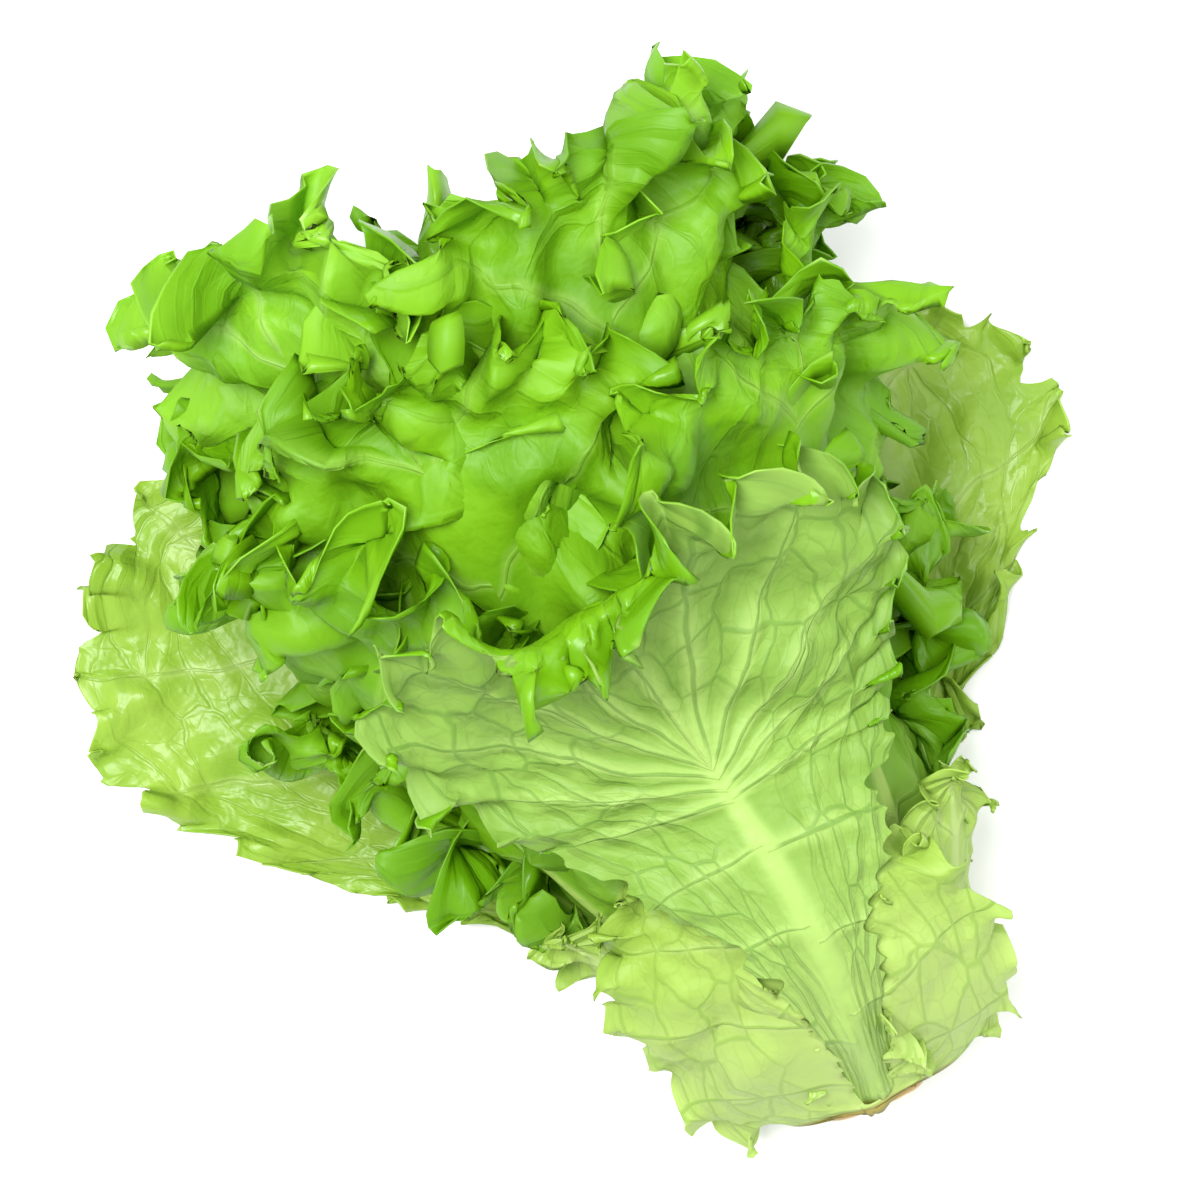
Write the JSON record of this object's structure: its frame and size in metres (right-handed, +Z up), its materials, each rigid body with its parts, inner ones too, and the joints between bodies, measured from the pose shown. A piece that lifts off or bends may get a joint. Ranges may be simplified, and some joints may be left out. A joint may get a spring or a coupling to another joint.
{
  "type": "green leaf lettuce head",
  "caption": "Loose-leaf lettuce head lying on its side: frilled green leaves nested round a cut stem core, the outermost ones fallen open on the table.",
  "frame": {"origin": "on the table under the middle of the head's bounding box", "axes": "+Y along the head from the cut stem to the crown, +Z up, +X to the right seen from the stem"},
  "size_m": [0.27, 0.2876, 0.1556],
  "materials": {
    "stem": "cut lettuce stem, pale cream green, moist matt",
    "base_leaf": "pale yellow-green leaf blade with a thick pale midrib, soft satin",
    "front_leaf": "underside of a large leaf, dull mid green with raised veins, matt",
    "outer_leaf": "pale green leaf blade with lighter net veins, satin",
    "crown_leaf": "saturated green frilled leaf blade, waxy satin",
    "heart_leaf": "young light green frilled leaf blade, waxy satin"
  },
  "bodies": {
    "root": {"stem_core": "stem", "front_fan_leaf": "front_leaf", "base_leaf_top": "base_leaf", "base_leaf_left": "base_leaf", "base_leaf_right": "base_leaf", "under_leaf": "outer_leaf", "splayed_leaf_left": "outer_leaf", "splayed_leaf_right": "outer_leaf", "head_leaf_01": "outer_leaf", "head_leaf_02": "outer_leaf", "head_leaf_03": "crown_leaf", "head_leaf_04": "crown_leaf", "head_leaf_05": "crown_leaf", "head_leaf_06": "crown_leaf", "head_leaf_07": "crown_leaf", "head_leaf_08": "crown_leaf", "head_leaf_09": "crown_leaf", "head_leaf_10": "crown_leaf", "head_leaf_11": "crown_leaf", "head_leaf_12": "heart_leaf", "head_leaf_13": "heart_leaf", "head_leaf_14": "heart_leaf", "head_leaf_15": "heart_leaf", "head_leaf_16": "heart_leaf", "head_leaf_17": "heart_leaf", "head_leaf_18": "heart_leaf", "head_leaf_19": "heart_leaf", "head_leaf_20": "heart_leaf", "head_leaf_21": "heart_leaf", "head_leaf_22": "heart_leaf", "head_leaf_23": "heart_leaf", "head_leaf_24": "heart_leaf", "head_leaf_25": "heart_leaf", "head_leaf_26": "heart_leaf"}
  },
  "joints": []
}
